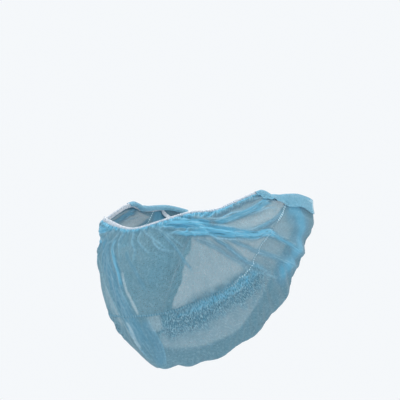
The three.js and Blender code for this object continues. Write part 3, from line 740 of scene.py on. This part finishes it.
def spunbond(name, opacity, sheer):
    """The see-through nonwoven. opacity is that of one layer of cloth."""
    finish = Finish(name)
    place = finish.node("UVMap", {"uv_map": "cloth"})
    strand_place = finish.node("Attribute", {"attribute_name": "strand_at"}, output=1)

    def value_of(attribute):
        return finish.node("Attribute", {"attribute_name": attribute}, output=2)

    layers, thin, crinkle, bunched, shade, creased = map(value_of, finish_values)
    clouds = finish.noise(place, 420.0, 3.0)
    patches = finish.noise(place, 90.0)
    fibres = finish.strokes(place, 5200.0, 420.0, 35)
    more_fibres = finish.strokes(place, 4800.0, 380.0, -50)
    web = fibres * 0.5 + more_fibres * 0.5
    points = finish.node("TexVoronoi", Vector=place, Scale=640.0, Randomness=0.35)
    pressed = 1 - points.between(0.18, 0.34)
    tufts = finish.strokes(place, 1300.0, 330.0, 16, 3.0)
    tufts = tufts.math("MAXIMUM", tufts, finish.strokes(place, 1250.0, 380.0, -26, 3.0))
    strands = finish.strokes(strand_place, 620.0, 45.0)
    strands = strands * 0.7 + finish.strokes(strand_place, 1700.0, 90.0, detail=1.0) * 0.3

    def lit(pattern, low, high):
        """The colour of crinkled or gathered cloth, from painted shade in its valleys to painted
        highlights on its crests.
        """
        thick = (layers + crinkle * 0.4).between(0.6, 1.3)
        body = finish.mix(thick, FOLDED, TUFTED)
        body = finish.mix(pattern.between(low, low * 0.6 + high * 0.4), SHADE, body)
        crest = pattern.between(low * 0.3 + high * 0.7, high) * 0.9
        return finish.mix(crest, body, finish.mix(thick, LOW_CREST_HIGHLIGHT, CREST_HIGHLIGHT))

    density = layers - thin * 0.3 + 1 + (clouds - 0.5) * 0.7 + (web - 0.5) * 0.9
    density = density + (patches - 0.5) * 0.4 - pressed * 0.3
    density = density + crinkle * ((tufts - 0.5) * 6.0 + 0.6) + bunched * (strands - 0.4) * 4.0
    blue = finish.mix(layers.between(0.05, 0.8), sheer, MIDDLE)
    blue = finish.mix(layers.between(0.75, 1.4), blue, DEEP)
    blue = finish.mix((clouds + web - 1).between(0.02, 0.30) * 0.32, blue, PALE)
    blue = finish.mix(bunched * 0.8, blue, lit(strands, 0.35, 0.60))
    # A painted highlight along the crests of the folds, mottled by the clouds.
    blue = finish.mix(creased * (clouds + patches * 0.5).between(0.45, 0.85) * 0.8, blue, CREST_HIGHLIGHT)
    blue = finish.mix(crinkle * 0.9, blue, lit(tufts, 0.46, 0.63))
    # Where the cloth is thinner it is also painted pale: a painted highlight for the light that
    # comes through it.
    blue = finish.mix(thin * (0.45 + web * 0.5), blue, CLEAR)
    finish.set(
        Base_Color=finish.mix(shade * tufts.between(0.56, 0.66) * 0.75, blue, SHADE),
        Roughness=0.62 + clouds * 0.3,
        Alpha=1 - math.sqrt(1 - opacity) ** density,
        Specular_IOR_Level=0.25,
        Sheen_Weight=0.25,
        Sheen_Roughness=0.5,
        Normal=finish.bump(
            web * 0.25 + clouds * 0.3 - pressed * 0.2 + crinkle * tufts * 2.5
            + bunched * strands * 2.5, 0.5 * MM, 0.8),
    )
    return finish.material


cloth_lengths = np.stack(lengths_of(cloth), -1) * (1, -1)


def panel(name, rows):
    """Some rows of the cloth as a piece, with the values that its finish reads."""
    piece = grid_piece(name, cloth[rows], cloth_lengths[rows])
    for key, values in finish_values.items():
        attribute = piece.data.attributes.new(key, "FLOAT", "POINT")
        attribute.data.foreach_set("value", values[rows].ravel().astype(np.float32))
    attribute = piece.data.attributes.new("strand_at", "FLOAT_VECTOR", "POINT")
    attribute.data.foreach_set("vector", strand_at[rows].ravel().astype(np.float32))
    return piece


face_cloth = panel("face_cloth", slice(0, weld_row + 1))
jaw_cloth = panel("jaw_cloth", slice(weld_row, None))
for piece, node, opacity, sheer in (
    (face_cloth, "face_panel", 0.83, SHEER), (jaw_cloth, "jaw_pouch", 0.89, JAW_SHEER),
):
    thicken(piece, -1.0)
    piece.data.materials.append(spunbond(node + "_cloth", opacity, sheer))
    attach(piece, "root")
    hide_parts(node)


# ----------------------------------------
# The jaw weld. The two panels are joined by ultrasound along a narrow line: short dashes
# are pressed almost clear, and the cloth between them stays soft.
# ----------------------------------------
WELD_WIDTH = 2.0 * MM
WELD_THICKNESS = 0.55 * MM
DASH_PITCH = 2.3 * MM
DASH_SHARE = 0.58  # how much of the pitch a dash fills
DASH_EDGE = 0.12  # and how much of it each of its ends takes to rise
DASH_HEIGHT = 0.28 * MM
WELD_STEP = 0.38 * MM
WELD_SOFT = (0.08, 0.24, 0.34, 1)
WELD_SOFT_BY_EAR = (0.17, 0.40, 0.52, 1)
WELD_PRESSED = (0.66, 0.80, 0.87, 1)


def evenly(points, step, *others):
    """A line of points again at even steps, with what else is stated beside them."""
    length = running(points, 0)
    at = np.linspace(0, length[-1], round(length[-1] / step) + 1)

    def read(values):
        return np.stack([np.interp(at, length, values[:, k]) for k in range(3)], -1)

    return at, read(points), *(unit(read(other)) for other in others)


def tube_piece(name, rings, lengths, closed_ends=True):
    """A mesh round a row of rings of points, closed at both ends or joined end to end."""
    index = numbered(rings)
    after = np.roll(index, -1, 1)
    quads = np.stack([index[:-1], index[1:], after[1:], after[:-1]], -1).reshape(-1, 4).tolist()
    if closed_ends:
        quads += [index[0].tolist(), index[-1, ::-1].tolist()]
    else:
        quads += np.stack([index[-1], index[0], after[0], after[-1]], -1).tolist()
    return mesh_piece(name, rings, quads, lengths)


def lengths_round(at, profile, width):
    """The lengths along a tube and across it, at each point of its rings."""
    across = [row[0] * width for row in profile]
    return np.stack(np.broadcast_arrays(at[:, None], across), -1)


weld_normal = unit(crossed[weld_row])
weld_normal *= np.sign((weld_normal * normal[weld_row]).sum(-1, keepdims=True))
weld_normal = blurred(weld_normal[:, None], 2)[:, 0]
seam_at, seam, seam_out = evenly(cloth[weld_row], WELD_STEP, weld_normal)
seam_up = unit(np.cross(seam_out, unit(np.gradient(seam, axis=0))))
dash_at = np.mod(seam_at / DASH_PITCH, 1)
dash = within(dash_at, 0, DASH_EDGE, DASH_SHARE - DASH_EDGE, DASH_SHARE)
weld_profile = (
    # across, out, how much of the dash's height it takes
    (-0.5, 0.15, 0.0), (-0.32, 0.5, 0.5), (0.0, 0.5, 1.0), (0.32, 0.5, 0.5), (0.5, 0.15, 0.0),
    (0.5, -0.15, 0.0), (0.25, -0.5, 0.0), (-0.25, -0.5, 0.0), (-0.5, -0.15, 0.0),
)
weld_rings = np.stack([
    seam + (across * WELD_WIDTH) * seam_up
    + (out * WELD_THICKNESS - CLOTH / 2 + takes * dash * DASH_HEIGHT)[:, None] * seam_out
    for across, out, takes in weld_profile
], 1)
weld_lengths = lengths_round(seam_at, weld_profile, WELD_WIDTH)
weld_seam = tube_piece("weld_seam", weld_rings, weld_lengths)

weld = Finish("pressed_weld")
weld_place = weld.node("UVMap", {"uv_map": "cloth"})
run_along = weld.node("SeparateXYZ", Vector=weld_place)
pitches = run_along * (1 / DASH_PITCH)
spot = pitches.math("FRACT", pitches)
from_middle = run_along.math("ABSOLUTE", run_along - seam_at[-1] / 2)
towards_ear = from_middle.between(0.085, 0.13)
pressed = spot.between(0.0, DASH_EDGE)
pressed = pressed * (1 - spot.between(DASH_SHARE - DASH_EDGE, DASH_SHARE))
mottle = weld.noise(weld_place, 900.0)
weld.set(
    Base_Color=weld.mix(
        pressed * (0.06 + mottle * 0.22 + towards_ear * 0.6),
        weld.mix(towards_ear, WELD_SOFT, WELD_SOFT_BY_EAR), WELD_PRESSED),
    Roughness=0.75 - pressed * 0.25,
    Specular_IOR_Level=0.3,
    Normal=weld.bump(mottle, 0.12 * MM),
)
weld_seam.data.materials.append(weld.material)
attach(weld_seam, "root")
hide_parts("jaw_weld")


# ----------------------------------------
# The elastic. It is one closed loop of white knitted elastic, whipped to the cloth's edge
# on the lip and cheeks. It runs up under the ear flaps and back through the neck hem.
# ----------------------------------------
ELASTIC_WIDTH = 4.0 * MM
ELASTIC_THICKNESS = 0.9 * MM
ELASTIC_SHOWS = 1.7 * MM
ELASTIC_TURNED = 1.5 * MM  # how much more shows right of the nose, where it is turned outwards
ELASTIC_LEAN = 0.15
BEHIND_LIP = 1.3 * MM  # from the cloth's outer face to the middle of the elastic
BEHIND_HEM = 2.2 * MM
ELASTIC_STEP = 0.5 * MM
NUB = 0.16 * MM  # the knit's small bumps
NUB_PITCH = 1.25 * MM
WANDER = 0.35 * MM  # how far it strays in and out
LOOP_POINTS = 3000
ELASTIC_WHITE, ELASTIC_BLUE = (0.82, 0.84, 0.88, 1), (0.30, 0.46, 0.58, 1)


def rim(edge):
    """Places along the cloth's edge, its outward normal, and the way into the cloth."""
    edge = np.array(edge, float)
    places = bag(edge[:, 0], edge[:, 1])
    out = outward(edge[:, 0], edge[:, 1])
    return places, out, unit(np.cross(unit(np.gradient(places, axis=0)), out))


def steps(first, last, count):
    return np.linspace(first, last, count + 1)


def lip_edge(first, last, count):
    return [(a, LIP) for a in steps(first, last, count)]


def top_edge(side, first, last, count):
    return [(side * LAST, d) for d in steps(first, last, count)]


elastic_route = (
    (lip_edge(-LAST, LAST, 32) + top_edge(1, 0.5, 2.5, 4) + [(7.8, 2.7)], BEHIND_LIP),
    ([(a, HEM) for a in steps(6.7, -6.7, 30)], BEHIND_HEM),
    ([(-7.8, 2.7)] + top_edge(-1, 2.5, 0.5, 4), BEHIND_LIP),
)
centres, widths = [], []
for edge, behind in elastic_route:
    places, out, into = rim(edge)
    rightward = -np.array(edge)[:, :1]
    turned = within(rightward, 0.3, 0.9, 2.4, 3.4)
    turned *= np.array(edge)[:, 1:] == LIP
    shown = ELASTIC_SHOWS + ELASTIC_TURNED * turned
    centres.append(places - behind * out + (ELASTIC_WIDTH / 2 - shown) * into)
    widths.append(into - ELASTIC_LEAN * out)
centres, widths = np.concatenate(centres), np.concatenate(widths)


def closed_line(points, count):
    """A smooth closed curve through the points."""
    padded = np.concatenate([points[-3:], points, points[:3]])
    return smooth_line(padded, 3 + np.linspace(0, len(points), count))


loop, loop_across = closed_line(centres, LOOP_POINTS), closed_line(widths, LOOP_POINTS)
loop_at, loop, loop_across = evenly(loop, ELASTIC_STEP, loop_across)
loop_at, loop, loop_across = loop_at[:-1], loop[:-1], loop_across[:-1]
loop_out = unit(np.cross(loop_across, unit(np.roll(loop, -1, 0) - np.roll(loop, 1, 0))))
nub = np.sin(loop_at / NUB_PITCH * 2 * math.pi)
wander = blurred(rng.normal(size=(len(loop), 1)), 3)[:, 0] * WANDER
ribs = (
    # across, out, share of the nub's height
    (-0.5, 0.0, 1.0), (-0.42, -0.42, -0.6), (-0.2, -0.5, -0.3), (0.0, -0.42, 0.0),
    (0.2, -0.5, -0.3), (0.42, -0.42, 0.0), (0.5, 0.0, 0.0), (0.42, 0.42, 0.0), (0.2, 0.5, 0.3),
    (0.0, 0.42, 0.0), (-0.2, 0.5, 0.3), (-0.42, 0.42, 0.6),
)
elastic_rings = np.stack([
    loop
    + (across * ELASTIC_WIDTH - (across < -0.4) * nub * NUB)[:, None] * loop_across
    + (out * ELASTIC_THICKNESS + takes * nub * NUB + wander)[:, None] * loop_out
    for across, out, takes in ribs
], 1)
elastic_lengths = lengths_round(loop_at, ribs, ELASTIC_WIDTH)
elastic_band = tube_piece("elastic_band", elastic_rings, elastic_lengths, closed_ends=False)

knit = Finish("white_knitted_elastic")
knit_place = knit.node("UVMap", {"uv_map": "cloth"})
ticks = knit.strokes(knit_place, 1500.0, 260.0, 24, 1.0)
blotch = knit.noise(knit_place, 380.0)
knit.set(
    Base_Color=knit.mix(
        (ticks * 0.7 + blotch * 0.5).between(0.52, 0.7) * 0.7, ELASTIC_WHITE, ELASTIC_BLUE),
    Roughness=0.85,
    Normal=knit.bump(ticks, 0.25 * MM),
)
elastic_band.data.materials.append(knit.material)
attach(elastic_band, "root")
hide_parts("elastic_loop")

# The whipping: one short slanted stitch over the edge for each small pleat.
STITCH_PITCH = 1.15 * MM
STITCH_RADIUS = 0.17 * MM
STITCH_SIZES = (0.4, 1, 1.1, 1.1, 1, 0.4)  # shares of the radius along its path
STITCH_SIDES = 5
THREAD_SHADE, THREAD_WHITE = (0.50, 0.62, 0.72, 1), (0.86, 0.88, 0.92, 1)
STITCH_PATH = (
    # along, out from the cloth, down from the cloth's edge
    (-0.35, 0.1, 1.15), (-0.2, 0.42, 0.75), (0.0, 0.38, 0.0), (0.15, 0.1, -0.9),
    (0.3, -0.9, -1.55), (0.4, -2.1, -1.1),
)
lip_places, lip_out, lip_into = rim(lip_edge(-7.7, 7.7, 260))
_, spots, spot_out, spot_into = evenly(lip_places, STITCH_PITCH, lip_out, lip_into)
spot_on = unit(np.cross(spot_out, spot_into))
stitch_points, stitch_faces = [], []
for spot, outer, inner, on in zip(spots, spot_out, spot_into, spot_on):
    slant = 1 + 0.35 * rng.normal()
    reach = 1 + 0.12 * rng.normal()
    path = np.array([
        spot + (a * slant * on + o * outer + d * reach * inner) * MM for a, o, d in STITCH_PATH
    ])
    heading = unit(np.gradient(path, axis=0))
    beside = unit(np.cross(heading, on))
    above = np.cross(heading, beside)
    turn = (np.arange(STITCH_SIDES) / STITCH_SIDES * 2 * math.pi)[None, :, None]
    circle = np.cos(turn) * beside[:, None] + np.sin(turn) * above[:, None]
    rings = path[:, None] + np.array(STITCH_SIZES)[:, None, None] * STITCH_RADIUS * circle
    index = numbered(rings) + sum(len(points) for points in stitch_points)
    after = np.roll(index, -1, 1)
    quads = np.stack([index[:-1], after[:-1], after[1:], index[1:]], -1)
    stitch_points.append(rings.reshape(-1, 3))
    stitch_faces += quads.reshape(-1, 4).tolist()
    stitch_faces += [index[0, ::-1].tolist(), index[-1].tolist()]
elastic_whipping = mesh_piece("elastic_whipping", np.concatenate(stitch_points), stitch_faces)
thread = Finish("white_thread")
lint = thread.noise(thread.node("TexCoord", output=3), 1500.0)
lint_colour = thread.mix(lint.between(0.35, 0.65), THREAD_SHADE, THREAD_WHITE)
thread.set(Base_Color=lint_colour, Roughness=0.8)
elastic_whipping.data.materials.append(thread.material)
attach(elastic_whipping, "root")


# ----------------------------------------
# The ear flaps. Beside each ear the cloth's top edge is turned over the elastic and laid
# down outside, where it is two layers thick and ends in a soft arch.
# ----------------------------------------
FLAP_FRONT = 5.7  # along
FLAP_REAR = 3.8  # down
FLAP_DEPTHS = (5, 5.5, 5, 5.5, 8.5, 13)  # millimetres, from front to rear
FLAP_COLUMNS, FLAP_ROWS = 96, 44
FLAP_SECTION = (
    # out from the cloth and down from its edge, in millimetres, from inside round the fold
    (-3.4, 1.2), (-3.3, -1.2), (-2.2, -2.7), (-0.4, -3.1), (1.0, -2.4), (1.4, -0.6),
)
FLAP_STANDS_OFF = 1.4  # millimetres
FLAP_FLARE = 0.05  # and how much more with each millimetre down, in front
FLAP_SWAY = 1.2 * MM
# One layer of the ear flaps, painted lighter than the bag's cloth for the light that falls on them
# from above.
FLAP_SHEER_TOP_LIT = (0.22, 0.54, 0.72, 1)


def ear_flap(name, side):
    edge = lip_edge(side * FLAP_FRONT, side * LAST, FLAP_COLUMNS // 2)
    edge += top_edge(side, 0, FLAP_REAR, FLAP_COLUMNS // 2)[1:]
    places, out, into = rim(edge)
    into = into * side
    across_flap = np.linspace(0, 1, len(places))
    depth = np.interp(across_flap * 5, range(6), FLAP_DEPTHS)
    front_end = 0.35 + 0.65 * smoothstep(across_flap, 0, 0.14)
    depth *= (1 + 0.06 * np.sin(across_flap * 19)) * front_end
    depth *= 1 - 0.16 * smoothstep(across_flap, 0.95, 1)
    flare = FLAP_FLARE * (1 - smoothstep(across_flap, 0.7, 1))
    height = 0.55 + 0.45 * smoothstep(across_flap, 0, 0.16)
    columns = []
    for place, outer, inner, deep, high, slack in zip(places, out, into, depth, height, flare):
        section = [(out_by, down_by * high) for out_by, down_by in FLAP_SECTION]
        for share in (0.25, 0.5, 0.75, 1):
            section.append((FLAP_STANDS_OFF + slack * deep * share, deep * share))
        section = smooth_line(np.array(section), np.linspace(0, len(section) - 1, FLAP_ROWS))
        columns.append(place + (section[:, :1] * outer + section[:, 1:] * inner) * MM)
    points = np.stack(columns, 1)
    if side < 0:
        points = points[:, ::-1]
    sway = blurred(np.random.default_rng(3).normal(size=points.shape[:2]), 20)
    sway /= np.abs(sway).max()
    hang = np.linspace(0, 1, FLAP_ROWS)[:, None] ** 1.5
    flap_out = unit(np.cross(np.gradient(points, axis=0), np.gradient(points, axis=1)))
    points = points + (FLAP_SWAY * sway * hang)[..., None] * flap_out
    piece = grid_piece(name, points, np.stack([running(points, 1), -running(points, 0)], -1))
    thicken(piece, 0.0)
    return piece


flap_cloth = spunbond("ear_flap_cloth", 0.80, FLAP_SHEER_TOP_LIT)
for side, node in ((1, "ear_flap_left"), (-1, "ear_flap_right")):
    flap = ear_flap(node + "_cloth", side)
    flap.data.materials.append(flap_cloth)
    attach(flap, "root")
    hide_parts(node)


# ----------------------------------------
# Stage: a pale floor under a pale backdrop, and soft light from large lamps.
# ----------------------------------------
FLOOR_BELOW = 0.42
ROOM = 4.0
bpy.ops.mesh.primitive_circle_add(vertices=96, radius=ROOM, fill_type="NGON")
floor = bpy.context.object
floor.name = "studio_floor"
paper = Finish("studio_paper")
paper.set(
    Base_Color=(0.6, 0.61, 0.62, 1), Roughness=0.9,
    Emission_Color=(0.95, 0.97, 1.0, 1), Emission_Strength=0.4)
floor.location.z = cad_box[0][2] - FLOOR_BELOW
floor.data.materials.append(paper.material)

world = bpy.data.worlds.new("studio_air")
bpy.context.scene.world = world
world.use_nodes = True
SEEN_AIR, LIT_AIR = 0.96, 0.36  # the backdrop is bright, but only the lamps model the folds
tree = world.node_tree
air = tree.nodes["Background"]
air.inputs["Color"].default_value = (0.95, 0.975, 1.0, 1)
rays = tree.nodes.new("ShaderNodeLightPath")
brightness = tree.nodes.new("ShaderNodeMapRange")
brightness.inputs["To Min"].default_value = LIT_AIR
brightness.inputs["To Max"].default_value = SEEN_AIR
tree.links.new(rays.outputs["Is Camera Ray"], brightness.inputs["Value"])
tree.links.new(brightness.outputs["Result"], air.inputs["Strength"])


def lamp(name, place, size, power):
    bpy.ops.object.light_add(type="AREA", location=place)
    light = bpy.context.object
    light.name = name
    light.data.size = size
    light.data.energy = power
    light.rotation_euler = (-Vector(place)).to_track_quat("-Z", "Y").to_euler()


lamp("window_light", (-0.8, -1.5, 1.5), 0.8, 32.0)
lamp("fill_light", (1.9, -0.4, 0.5), 1.4, 13.0)
lamp("top_light", (0.7, 0.5, 1.9), 0.8, 23.0)

scene = bpy.context.scene
scene.view_settings.view_transform = "Standard"
scene.cycles.transparent_max_bounces = 32
